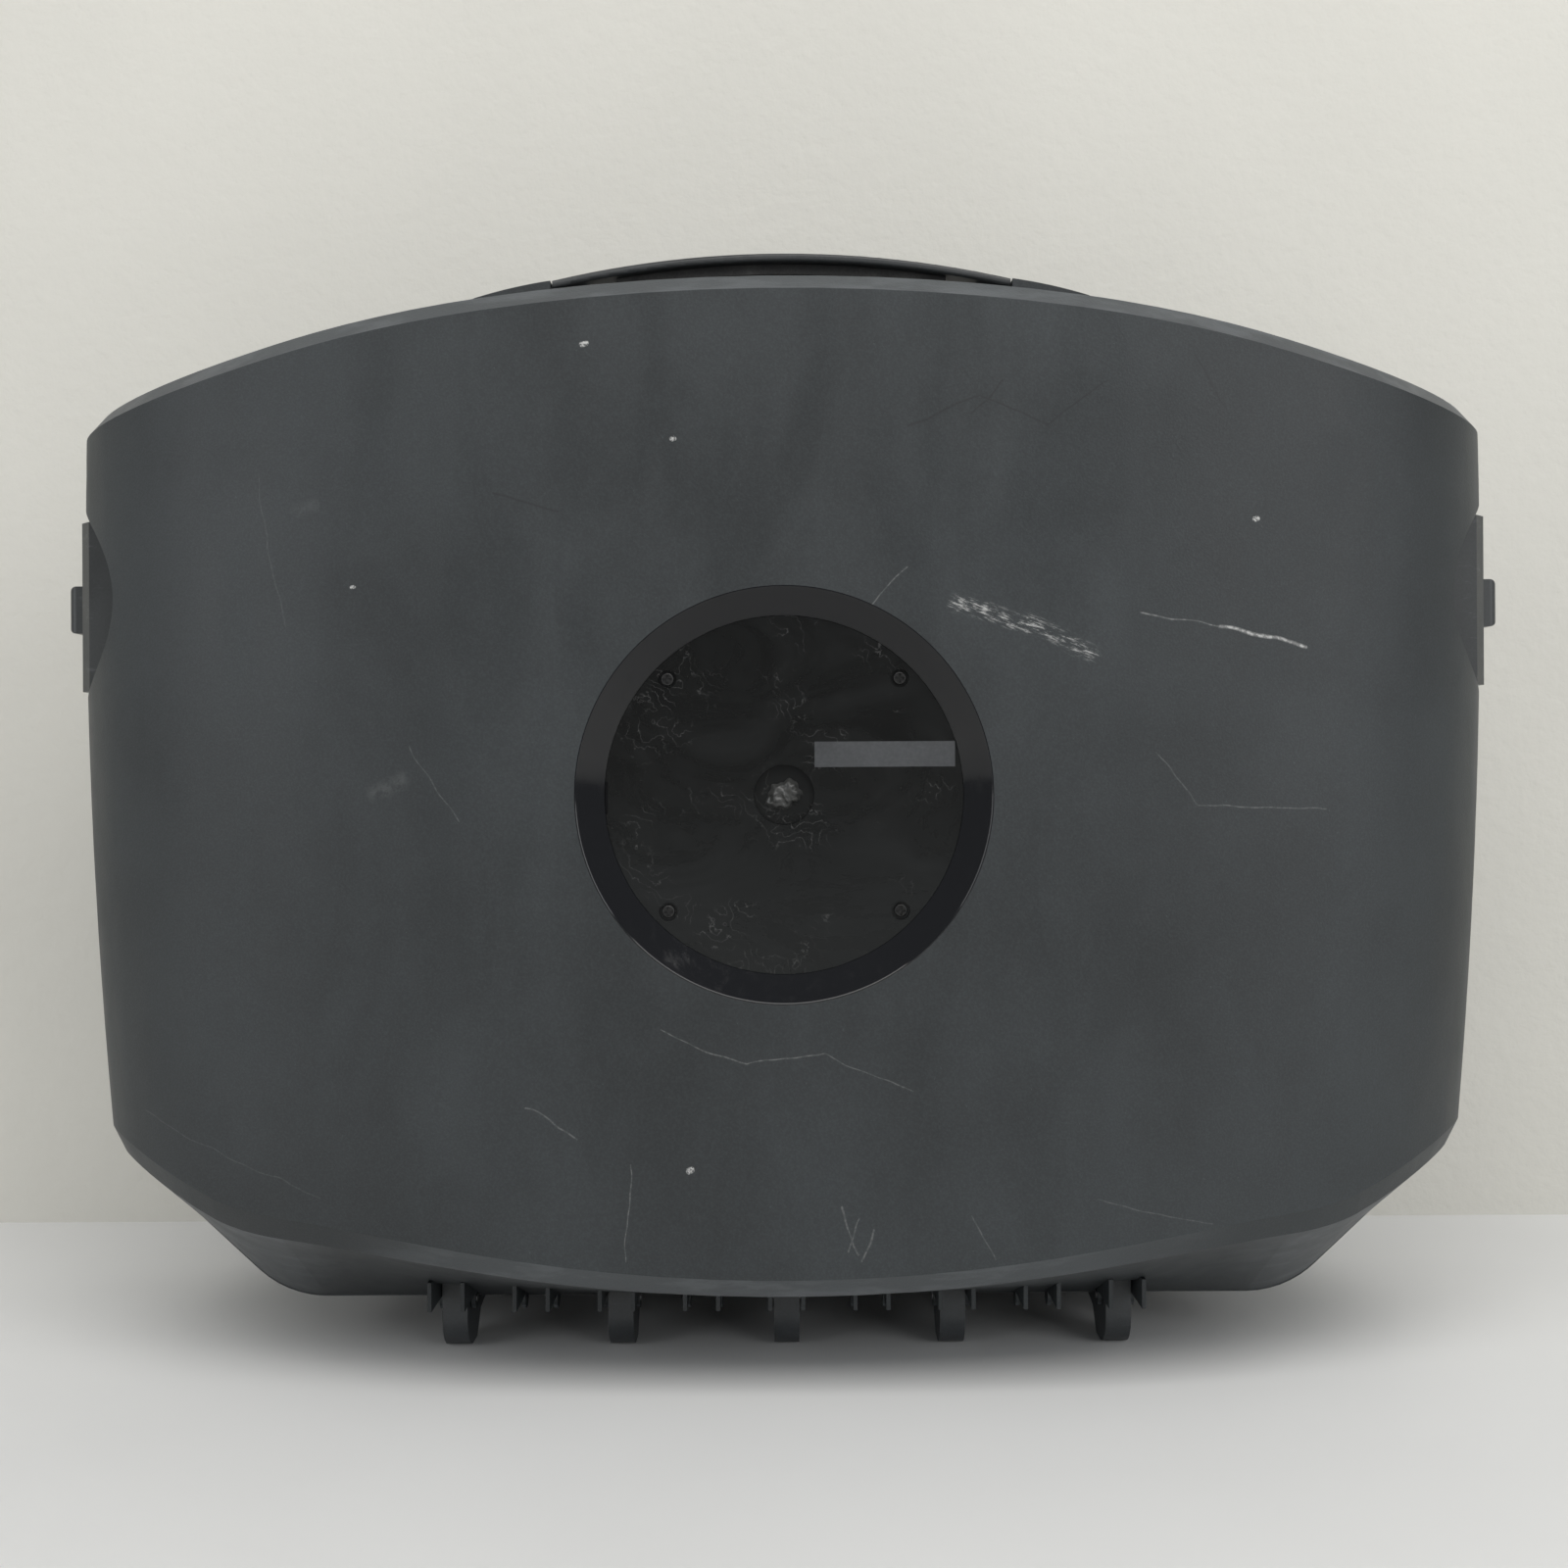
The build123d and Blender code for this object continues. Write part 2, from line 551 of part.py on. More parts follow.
band = arch(BAND_END_X, BAND_CROWN_Z, BAND_END_Z, BAND_THICK, HANDLE_FRONT_Y, HANDLE_BACK_Y)
band = fillet(band.edges().filter_by(lambda e: e.length > 150), 1.2)
grip = arch(60.0, BAND_CROWN_Z - BAND_THICK, BAND_END_Z - BAND_THICK + 4.5, 3.6, HANDLE_FRONT_Y + 4, HANDLE_BACK_Y - 4)
grip -= band
keep("handle_band", band)
keep("handle_grip", max(grip.solids(), key=lambda s: s.volume))
leg = block(LEG_X - 5, LEG_X + 5, HANDLE_MID_Y - 12, HANDLE_MID_Y + 12, 316, 384)
leg += block(LEG_X - 8, LEG_X + 8, HANDLE_MID_Y - 15, HANDLE_MID_Y + 15, 313, 317)
leg = max((leg - band).solids(), key=lambda s: s.volume)
for side, shape in side_pair(leg).items():
    keep(f"handle_leg_{side}", shape)
for side, shape in side_pair(handle_mount()).items():
    keep(f"handle_mount_{side}", shape)
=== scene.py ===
import math

import bmesh
import bpy
import numpy as np
from mathutils import Matrix, Vector


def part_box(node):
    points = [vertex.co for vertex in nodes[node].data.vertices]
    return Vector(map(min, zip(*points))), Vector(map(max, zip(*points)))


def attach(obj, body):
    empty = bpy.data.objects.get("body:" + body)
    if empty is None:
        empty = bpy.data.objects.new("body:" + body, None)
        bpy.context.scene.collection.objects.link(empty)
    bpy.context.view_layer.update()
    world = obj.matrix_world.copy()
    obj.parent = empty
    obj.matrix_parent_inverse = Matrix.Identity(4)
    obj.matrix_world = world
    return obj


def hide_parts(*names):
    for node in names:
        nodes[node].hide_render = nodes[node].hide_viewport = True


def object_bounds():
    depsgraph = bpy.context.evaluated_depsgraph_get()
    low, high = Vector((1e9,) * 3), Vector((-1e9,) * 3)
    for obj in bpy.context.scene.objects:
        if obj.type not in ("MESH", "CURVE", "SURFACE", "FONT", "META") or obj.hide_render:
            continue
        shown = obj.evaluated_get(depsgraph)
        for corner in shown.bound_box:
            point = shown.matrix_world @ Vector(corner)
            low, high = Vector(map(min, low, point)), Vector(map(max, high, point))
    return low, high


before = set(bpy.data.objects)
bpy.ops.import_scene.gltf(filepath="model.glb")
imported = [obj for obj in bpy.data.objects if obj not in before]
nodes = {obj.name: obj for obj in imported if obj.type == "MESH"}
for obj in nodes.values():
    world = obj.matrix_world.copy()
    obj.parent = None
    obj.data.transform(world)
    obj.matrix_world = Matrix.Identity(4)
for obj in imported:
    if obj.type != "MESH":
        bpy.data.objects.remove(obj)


def asLists(box):
    return [[float(value) for value in corner] for corner in box]


cadBox = asLists(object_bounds())
floorZ = cadBox[0][2]
mm = 0.001

# Places read from the frame that the camera and the materials are built from.
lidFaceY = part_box("lid_shell")[0].y
discLow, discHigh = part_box("medallion_plate")
discCentre = (discLow + discHigh) / 2


cameraSettings = {
    "distance": 0.540,
    "height": 0.199,
    "lens": 39.0,
    "roll": -0.3,
}


def makeCamera():
    data = bpy.data.cameras.new("camera")
    data.sensor_width = 36.0
    data.lens = cameraSettings["lens"]
    data.clip_start = 0.01
    camera = bpy.data.objects.new("camera", data)
    bpy.context.collection.objects.link(camera)
    camera.location = (0, lidFaceY - cameraSettings["distance"], cameraSettings["height"])
    look = Matrix.Rotation(math.radians(90), 3, "X")
    look = look @ Matrix.Rotation(math.radians(cameraSettings["roll"]), 3, "Z")
    camera.rotation_euler = look.to_euler()
    bpy.context.scene.camera = camera


makeCamera()
print("camera ready")


def newMaterial(name):
    material = bpy.data.materials.new(name)
    material.use_nodes = True
    tree = material.node_tree
    tree.nodes.clear()
    output = tree.nodes.new("ShaderNodeOutputMaterial")
    shader = tree.nodes.new("ShaderNodeBsdfPrincipled")
    tree.links.new(shader.outputs["BSDF"], output.inputs["Surface"])
    return material, tree, shader


def plug(tree, value, socket):
    if isinstance(value, bpy.types.NodeSocket):
        tree.links.new(value, socket)
    else:
        socket.default_value = value


def calc(tree, operation, a, b=0.0, clamp=False):
    node = tree.nodes.new("ShaderNodeMath")
    node.operation = operation
    node.use_clamp = clamp
    for value, socket in zip((a, b), node.inputs):
        plug(tree, value, socket)
    return node.outputs[0]


def vectorCalc(tree, operation, a, b=(0, 0, 0)):
    node = tree.nodes.new("ShaderNodeVectorMath")
    node.operation = operation
    plug(tree, a, node.inputs[0])
    if operation == "SCALE":
        plug(tree, b, node.inputs["Scale"])
    else:
        plug(tree, b, node.inputs[1])
    return node.outputs["Value" if operation in ("LENGTH", "DISTANCE", "DOT_PRODUCT") else "Vector"]


def ramp(tree, value, fromLow, fromHigh, toLow=0.0, toHigh=1.0):
    node = tree.nodes.new("ShaderNodeMapRange")
    node.interpolation_type = "SMOOTHSTEP"
    for entry, socket in zip((value, fromLow, fromHigh, toLow, toHigh), node.inputs):
        plug(tree, entry, socket)
    return node.outputs[0]


def blendColour(tree, fac, a, b):
    node = tree.nodes.new("ShaderNodeMix")
    node.data_type = "RGBA"
    plug(tree, fac, node.inputs[0])
    plug(tree, a, node.inputs[6])
    plug(tree, b, node.inputs[7])
    return node.outputs[2]


def objectCoords(tree, stretch=(1, 1, 1)):
    coords = tree.nodes.new("ShaderNodeTexCoord").outputs["Object"]
    if stretch == (1, 1, 1):
        return coords
    return vectorCalc(tree, "MULTIPLY", coords, stretch)


def noise(tree, coords, scale, detail=3.0, roughness=0.55, distortion=0.0):
    node = tree.nodes.new("ShaderNodeTexNoise")
    tree.links.new(coords, node.inputs["Vector"])
    node.inputs["Scale"].default_value = scale
    node.inputs["Detail"].default_value = detail
    node.inputs["Roughness"].default_value = roughness
    node.inputs["Distortion"].default_value = distortion
    return node.outputs["Fac"]


def cells(tree, coords, scale):
    node = tree.nodes.new("ShaderNodeTexVoronoi")
    tree.links.new(coords, node.inputs["Vector"])
    node.inputs["Scale"].default_value = scale
    return node.outputs["Distance"]


def bump(tree, height, strength, distance):
    node = tree.nodes.new("ShaderNodeBump")
    node.inputs["Strength"].default_value = strength
    node.inputs["Distance"].default_value = distance
    tree.links.new(height, node.inputs["Height"])
    return node.outputs["Normal"]


# One scratch: the distance to a line from start to end, in the plane of the lid's face.
def makeStrokeGroup():
    group = bpy.data.node_groups.new("stroke", "ShaderNodeTree")
    face = group.interface
    for name, kind in (("Place", "Vector"), ("Start", "Vector"), ("End", "Vector"), ("Width", "Float")):
        face.new_socket(name=name, in_out="INPUT", socket_type="NodeSocket" + kind)
    face.new_socket(name="Mask", in_out="OUTPUT", socket_type="NodeSocketFloat")
    inside = group.nodes.new("NodeGroupInput").outputs
    outside = group.nodes.new("NodeGroupOutput")
    along = vectorCalc(group, "SUBTRACT", inside["End"], inside["Start"])
    reach = vectorCalc(group, "SUBTRACT", inside["Place"], inside["Start"])
    share = calc(
        group,
        "DIVIDE",
        vectorCalc(group, "DOT_PRODUCT", reach, along),
        vectorCalc(group, "DOT_PRODUCT", along, along),
        clamp=True,
    )
    away = vectorCalc(group, "DISTANCE", reach, vectorCalc(group, "SCALE", along, share))
    mask = calc(group, "SUBTRACT", 1.0, calc(group, "DIVIDE", away, inside["Width"]), clamp=True)
    group.links.new(mask, outside.inputs[0])
    return group


strokeGroup = makeStrokeGroup()


def stroke(tree, place, start, end, width):
    node = tree.nodes.new("ShaderNodeGroup")
    node.node_tree = strokeGroup
    tree.links.new(place, node.inputs["Place"])
    node.inputs["Start"].default_value = (start[0] * mm, 0, start[1] * mm)
    node.inputs["End"].default_value = (end[0] * mm, 0, end[1] * mm)
    node.inputs["Width"].default_value = width * mm
    return node.outputs["Mask"]


def strongest(tree, masks):
    total = masks[0]
    for mask in masks[1:]:
        total = calc(tree, "MAXIMUM", total, mask)
    return total


shellLook = {
    "colour": (0.0256, 0.0298, 0.0322, 1),
    "worn": (0.105, 0.114, 0.122, 1),
    "roughness": 0.50,
    "grainScale": 1500.0,
    "grainDepth": 0.00006,
    "mottle": 0.20,
}

# Each scratch: start and end (x, z) in mm on the lid's face, half width in mm, strength.
faceScratches = [
    ((113.4, 253.2), (140.0, 248.6), 0.35, 0.35),
    ((140.0, 248.6), (168.5, 242.8), 0.65, 1.0),
    ((-49.5, 78.0), (-51.5, 46.5), 0.3, 0.24),
    ((-40.0, 121.0), (-12.0, 110.0), 0.3, 0.22),
    ((-12.0, 110.0), (12.0, 112.5), 0.3, 0.24),
    ((12.0, 112.5), (40.0, 101.0), 0.3, 0.18),
    ((133.0, 192.0), (175.0, 190.0), 0.3, 0.2),
    ((118.0, 208.0), (133.0, 192.0), 0.3, 0.12),
    ((-119.7, 212.0), (-104.0, 187.0), 0.3, 0.13),
    ((99.0, 66.0), (136.0, 57.0), 0.3, 0.12),
    ((-83.0, 97.0), (-66.0, 86.0), 0.35, 0.2),
    ((28.0, 256.0), (40.0, 268.0), 0.3, 0.22),
    ((18.0, 64.0), (23.0, 49.0), 0.45, 0.22),
    ((24.0, 60.0), (20.0, 50.0), 0.4, 0.2),
    ((29.0, 57.0), (24.0, 47.0), 0.4, 0.2),
    ((-215.0, 90.0), (-150.0, 66.0), 0.3, 0.08),
    ((60.0, 62.0), (66.0, 47.0), 0.3, 0.16),
    ((-170.0, 300.0), (-160.0, 250.0), 0.3, 0.06),
]
# Pale specks: x, z and radius in mm.
faceSpecks = [
    (-63.6, 339.0, 1.0),
    (-30.8, 76.6, 1.1),
    (-36.0, 309.0, 0.8),
    (151.0, 283.0, 0.9),
    (-138, 262, 0.7),
]
# Dull patches: start and end (x, z), half width in mm, strength.
facePatches = [((-131.0, 197.0), (-121.5, 201.0), 3.6, 0.24), ((-156.0, 287.0), (-151.0, 289.0), 3.2, 0.18)]
# Dark hairs lying on the face: start and end (x, z), half width in mm.
faceHairs = [
    ((41.0, 313.0), (62.0, 322.0), 0.5),
    ((62.0, 322.0), (84.0, 314.0), 0.5),
    ((70.0, 327.0), (60.0, 316.0), 0.45),
    ((84.0, 314.0), (104.0, 326.0), 0.4),
    ((-92.0, 292.0), (-72.0, 286.0), 0.5),
    ((132.0, 336.0), (142.0, 318.0), 0.4),
]
scuffStart, scuffMiddle, scuffEnd = (56.0, 256.0), (80.0, 249.0), (98.0, 240.0)


def shellScratches(tree, coords):
    flat = vectorCalc(tree, "MULTIPLY", coords, (1, 0, 1))
    wobble = tree.nodes.new("ShaderNodeTexNoise")
    tree.links.new(flat, wobble.inputs["Vector"])
    wobble.inputs["Scale"].default_value = 45.0
    shift = vectorCalc(tree, "SUBTRACT", wobble.outputs["Color"], (0.5, 0.5, 0.5))
    bent = vectorCalc(tree, "ADD", flat, vectorCalc(tree, "MULTIPLY", shift, (0.006, 0, 0.006)))
    breaks = ramp(tree, noise(tree, flat, 420.0, 4.0, 0.7), 0.40, 0.62)
    lines = []
    for start, end, width, strength in faceScratches:
        mask = stroke(tree, bent, start, end, width)
        lines.append(calc(tree, "MULTIPLY", mask, strength))
    fine = calc(tree, "MULTIPLY", strongest(tree, lines), ramp(tree, breaks, 0, 1, 0.35, 1.0))
    dense = stroke(tree, bent, scuffStart, scuffMiddle, 4.2)
    sparse = calc(tree, "MULTIPLY", stroke(tree, bent, scuffMiddle, scuffEnd, 3.6), 0.62)
    core = ramp(tree, calc(tree, "MAXIMUM", dense, sparse), 0.0, 0.7)
    slant = tree.nodes.new("ShaderNodeVectorRotate")
    slant.rotation_type = "Y_AXIS"
    slant.inputs["Angle"].default_value = -0.37
    tree.links.new(flat, slant.inputs["Vector"])
    streaky = vectorCalc(tree, "MULTIPLY", slant.outputs[0], (0.32, 1, 1.7))
    chips = ramp(tree, noise(tree, streaky, 520.0, 6.0, 0.8), 0.49, 0.63)
    scuff = calc(tree, "MULTIPLY", calc(tree, "MULTIPLY", core, chips), 0.85)
    ragged = ramp(tree, noise(tree, flat, 1500.0, 3.0, 0.8), 0.42, 0.60, 0.1, 2.6)
    dots = [calc(tree, "MULTIPLY", stroke(tree, bent, (x, z), (x + r, z + 0.4 * r), r), ragged, clamp=True)
            for x, z, r in faceSpecks]
    thin = ramp(tree, noise(tree, flat, 260.0, 5.0, 0.7), 0.35, 0.6, 0.0, 1.0)
    patches = []
    for start, end, width, strength in facePatches:
        mask = ramp(tree, stroke(tree, bent, start, end, width), 0, 1.0)
        patches.append(calc(tree, "MULTIPLY", calc(tree, "MULTIPLY", mask, strength), thin))
    hairs = [stroke(tree, bent, a, b, w) for a, b, w in faceHairs]
    hair = calc(tree, "MULTIPLY", strongest(tree, hairs), 0.75)
    bright = strongest(tree, [fine, scuff] + dots)
    return bright, strongest(tree, patches), hair


def shellPlastic(name, withScratches):
    material, tree, shader = newMaterial(name)
    coords = objectCoords(tree)
    normal = tree.nodes.new("ShaderNodeNewGeometry").outputs["Normal"]
    split = tree.nodes.new("ShaderNodeSeparateXYZ")
    tree.links.new(normal, split.inputs[0])
    clouds = noise(tree, coords, 9.0, 5.0, 0.6)
    smears = noise(tree, vectorCalc(tree, "MULTIPLY", coords, (1.0, 1.0, 0.35)), 34.0, 6.0, 0.65, 0.6)
    grain = noise(tree, coords, shellLook["grainScale"], 2.0, 0.6)
    pits = cells(tree, coords, shellLook["grainScale"] * 0.8)
    shade = calc(tree, "ADD", ramp(tree, clouds, 0.3, 0.7, 1 - shellLook["mottle"], 1 + shellLook["mottle"]),
                 ramp(tree, smears, 0.35, 0.75, -0.09, 0.15))
    shade = calc(tree, "ADD", shade, ramp(tree, grain, 0.35, 0.75, -0.10, 0.22))
    base = vectorCalc(tree, "SCALE", shellLook["colour"][:3], shade)

    # Dust and rub wear: fine pale flecks, and the edge strips painted paler, partly where they rub and partly as a
    # painted highlight where the chamfers face the lamps and the pale table.
    flecks = ramp(tree, noise(tree, coords, 900.0, 2.0, 0.8), 0.70, 0.80, 0.0, 0.35)
    colour = blendColour(tree, flecks, base, shellLook["worn"])
    steep = calc(tree, "ABSOLUTE", split.outputs["Z"])
    level = calc(tree, "SQRT", calc(tree, "SUBTRACT", 1.0, calc(tree, "MULTIPLY", steep, steep), clamp=True))
    ahead = ramp(tree, calc(tree, "ABSOLUTE", split.outputs["Y"]), 0.26, 0.34)
    # Painted highlight and rub wear: the chamfer strips are picked by their tilt and painted paler.
    chamferWearAndHighlight = calc(tree, "MULTIPLY", ramp(tree, calc(tree, "MULTIPLY", steep, level), 0.43, 0.47), ahead)
    drawn = vectorCalc(tree, "MULTIPLY", coords, (0.25, 1, 1))
    rub = ramp(tree, noise(tree, drawn, 120.0, 5.0, 0.65), 0.42, 0.68)
    chamferWearAndHighlight = calc(tree, "MULTIPLY", chamferWearAndHighlight, ramp(tree, rub, 0, 1, 0.42, 0.74))
    colour = blendColour(tree, chamferWearAndHighlight, colour, shellLook["worn"])
    rough = ramp(tree, smears, 0.3, 0.75, shellLook["roughness"] - 0.05, shellLook["roughness"] + 0.09)
    height = calc(tree, "ADD", grain, calc(tree, "MULTIPLY", pits, 0.6))
    if withScratches:
        front = ramp(tree, split.outputs["Y"], -0.25, -0.5)
        bright, patch, hair = shellScratches(tree, coords)
        bright = calc(tree, "MULTIPLY", bright, front)
        colour = blendColour(tree, calc(tree, "MULTIPLY", patch, front), colour, (0.13, 0.135, 0.135, 1))
        colour = blendColour(tree, calc(tree, "MULTIPLY", hair, front), colour, (0.014, 0.015, 0.016, 1))
        colour = blendColour(tree, bright, colour, (0.50, 0.50, 0.49, 1))
        height = calc(tree, "SUBTRACT", height, calc(tree, "MULTIPLY", bright, 1.2))
    tree.links.new(colour, shader.inputs["Base Color"])
    tree.links.new(rough, shader.inputs["Roughness"])
    tree.links.new(bump(tree, height, 0.55, shellLook["grainDepth"]), shader.inputs["Normal"])
    shader.inputs["Specular IOR Level"].default_value = 0.42
    return material


def plainPlastic(name, colour, roughness, grainScale, grainDepth, wear):
    material, tree, shader = newMaterial(name)
    coords = objectCoords(tree)
    clouds = noise(tree, coords, 28.0, 5.0, 0.6)
    grain = noise(tree, coords, grainScale, 2.0, 0.6)
    cloudy = ramp(tree, clouds, 0.3, 0.7, 0.82, 1.16)
    shade = calc(tree, "ADD", cloudy, ramp(tree, grain, 0.35, 0.75, -0.08, 0.12))
    base = vectorCalc(tree, "SCALE", colour, shade)
    drawn = vectorCalc(tree, "MULTIPLY", coords, (0.3, 1, 1))
    marks = ramp(tree, noise(tree, drawn, 260.0, 6.0, 0.7), 0.58, 0.74)
    worn = tuple(min(1.0, value * 2.4 + 0.02) for value in colour) + (1,)
    tinted = blendColour(tree, calc(tree, "MULTIPLY", marks, wear), base, worn)
    tree.links.new(tinted, shader.inputs["Base Color"])
    rough = ramp(tree, clouds, 0.3, 0.7, max(0.03, roughness - 0.05), roughness + 0.07)
    tree.links.new(rough, shader.inputs["Roughness"])
    tree.links.new(bump(tree, grain, 0.4, grainDepth), shader.inputs["Normal"])
    return material


# Polished black: a soft waviness in the surface, dust, and hairline rub marks round the ring.
def glossBlack(name):
    material, tree, shader = newMaterial(name)
    coords = objectCoords(tree)
    swell = noise(tree, coords, 32.0, 2.0, 0.5)
    fine = noise(tree, coords, 700.0, 2.0, 0.6)
    dust = ramp(tree, noise(tree, coords, 1100.0, 3.0, 0.8), 0.70, 0.82, 0.0, 0.3)
    streak = noise(tree, vectorCalc(tree, "MULTIPLY", coords, (1, 1, 0.12)), 320.0, 4.0, 0.7)
    colour = blendColour(tree, dust, (0.006, 0.0065, 0.008, 1), (0.10, 0.10, 0.10, 1))
    tree.links.new(colour, shader.inputs["Base Color"])
    tree.links.new(ramp(tree, streak, 0.45, 0.75, 0.07, 0.20), shader.inputs["Roughness"])
    height = calc(tree, "ADD", swell, calc(tree, "MULTIPLY", fine, 0.02))
    tree.links.new(bump(tree, height, 0.25, 0.0006), shader.inputs["Normal"])
    shader.inputs["Specular IOR Level"].default_value = 0.42
    return material


# Satin disc: wiping smears, fine scratches that fan about, paler at the bottom as a painted reflection of the pale
# table, with dried glue specks.
def satinDisc(name):
    material, tree, shader = newMaterial(name)
    coords = objectCoords(tree)
    place = tree.nodes.new("ShaderNodeSeparateXYZ")
    tree.links.new(coords, place.inputs[0])
    smear = noise(tree, vectorCalc(tree, "MULTIPLY", coords, (0.5, 1, 1)), 38.0, 7.0, 0.68, 1.2)
    # Painted reflection: the lower part of the disc is painted paler, standing in for the table mirrored in it.
    low = ramp(tree, place.outputs["Z"], discCentre.z + 0.02, discCentre.z - 0.055, 0.0, 1.0)
    wiped = ramp(tree, smear, 0.35, 0.75, 0.0, 0.22)
    tone = calc(tree, "ADD", wiped, calc(tree, "MULTIPLY", low, 0.30), clamp=True)
    colour = blendColour(tree, tone, (0.0046, 0.0048, 0.0046, 1), (0.021, 0.0235, 0.0245, 1))
    wave = tree.nodes.new("ShaderNodeTexWave")
    wave.wave_type = "BANDS"
    wave.bands_direction = "DIAGONAL"
    tree.links.new(coords, wave.inputs["Vector"])
    wave.inputs["Scale"].default_value = 90.0
    wave.inputs["Distortion"].default_value = 28.0
    wave.inputs["Detail"].default_value = 6.0
    hairs = calc(tree, "MULTIPLY", ramp(tree, wave.outputs["Fac"], 0.982, 1.0),
                 ramp(tree, noise(tree, coords, 60.0, 3.0), 0.5, 0.65))
    colour = blendColour(tree, calc(tree, "MULTIPLY", hairs, 0.32), colour, (0.16, 0.16, 0.16, 1))
    specks = ramp(tree, noise(tree, coords, 800.0, 3.0, 0.8), 0.72, 0.82, 0.0, 0.4)
    colour = blendColour(tree, specks, colour, (0.14, 0.14, 0.14, 1))
    tree.links.new(colour, shader.inputs["Base Color"])
    tree.links.new(ramp(tree, smear, 0.3, 0.75, 0.24, 0.36), shader.inputs["Roughness"])
    shader.inputs["Specular IOR Level"].default_value = 0.26
    tree.links.new(bump(tree, noise(tree, coords, 1600.0, 2.0), 0.25, 0.00003), shader.inputs["Normal"])
    return material


def metal(name, colour, roughness, stretch=(1, 1, 1)):
    material, tree, shader = newMaterial(name)
    coords = objectCoords(tree, stretch)
    lines = noise(tree, coords, 900.0, 4.0, 0.7)
    clouds = noise(tree, coords, 60.0, 3.0)
    base = vectorCalc(tree, "SCALE", colour, ramp(tree, clouds, 0.3, 0.7, 0.8, 1.15))
    tree.links.new(base, shader.inputs["Base Color"])
    shader.inputs["Metallic"].default_value = 1.0
    tree.links.new(ramp(tree, lines, 0.3, 0.7, roughness - 0.06, roughness + 0.1), shader.inputs["Roughness"])
    tree.links.new(bump(tree, lines, 0.3, 0.00003), shader.inputs["Normal"])
    return material


def rubber(name, colour):
    material, tree, shader = newMaterial(name)
    coords = objectCoords(tree)
    grain = noise(tree, coords, 1300.0, 3.0, 0.7)
    dust = ramp(tree, noise(tree, coords, 70.0, 6.0, 0.7), 0.45, 0.8, 0.0, 0.4)
    dusted = blendColour(tree, dust, colour + (1,), (0.10, 0.098, 0.092, 1))
    tree.links.new(dusted, shader.inputs["Base Color"])
    tree.links.new(ramp(tree, grain, 0.3, 0.7, 0.72, 0.9), shader.inputs["Roughness"])
    tree.links.new(bump(tree, grain, 0.5, 0.00008), shader.inputs["Normal"])
    return material


def foam(name):
    material, tree, shader = newMaterial(name)
    coords = objectCoords(tree)
    pores = cells(tree, coords, 900.0)
    clouds = noise(tree, coords, 22.0, 4.0)
    cloudy = ramp(tree, clouds, 0.3, 0.7, 0.85, 1.15)
    shade = calc(tree, "MULTIPLY", ramp(tree, pores, 0.1, 0.6, 0.45, 1.1), cloudy)
    tree.links.new(vectorCalc(tree, "SCALE", (0.040, 0.041, 0.044), shade), shader.inputs["Base Color"])
    shader.inputs["Roughness"].default_value = 0.95
    shader.inputs["Sheen Weight"].default_value = 0.2
    tree.links.new(bump(tree, pores, 0.8, 0.0004), shader.inputs["Normal"])
    return material


# Webbing: a plain weave from two crossed sine waves.
def webbing(name):
    material, tree, shader = newMaterial(name)
    coords = objectCoords(tree)
    split = tree.nodes.new("ShaderNodeSeparateXYZ")
    tree.links.new(coords, split.inputs[0])
    across = calc(tree, "SINE", calc(tree, "MULTIPLY", split.outputs["X"], 2 * math.pi / 0.0019))
    along = calc(tree, "SINE", calc(tree, "MULTIPLY", split.outputs["Z"], 2 * math.pi / 0.0016))
    weave = calc(tree, "MULTIPLY", across, along)
    fuzz = noise(tree, coords, 2200.0, 3.0, 0.7)
    shade = calc(tree, "ADD", ramp(tree, weave, -1, 1, 0.55, 1.2), ramp(tree, fuzz, 0.3, 0.7, -0.15, 0.2))
    tree.links.new(vectorCalc(tree, "SCALE", (0.020, 0.0205, 0.022), shade), shader.inputs["Base Color"])
    shader.inputs["Roughness"].default_value = 0.85
    shader.inputs["Sheen Weight"].default_value = 0.35
    tree.links.new(bump(tree, weave, 0.7, 0.0003), shader.inputs["Normal"])
    return material


def circuitBoard(name):
    material, tree, shader = newMaterial(name)
    coords = objectCoords(tree)
    traces = tree.nodes.new("ShaderNodeTexBrick")
    tree.links.new(coords, traces.inputs["Vector"])
    traces.inputs["Scale"].default_value = 90.0
    traces.inputs["Color1"].default_value = (0.012, 0.075, 0.035, 1)
    traces.inputs["Color2"].default_value = (0.010, 0.060, 0.030, 1)
    traces.inputs["Mortar"].default_value = (0.03, 0.16, 0.07, 1)
    tree.links.new(traces.outputs["Color"], shader.inputs["Base Color"])
    shader.inputs["Roughness"].default_value = 0.35
    tree.links.new(bump(tree, noise(tree, coords, 500.0), 0.3, 0.0001), shader.inputs["Normal"])
    return material


def lens(name):
    material, tree, shader = newMaterial(name)
    coords = objectCoords(tree)
    tree.links.new(blendColour(tree, noise(tree, coords, 300.0), (0.05, 0.30, 0.08, 1), (0.1, 0.42, 0.14, 1)),
                   shader.inputs["Base Color"])
    shader.inputs["Roughness"].default_value = 0.12
    return material


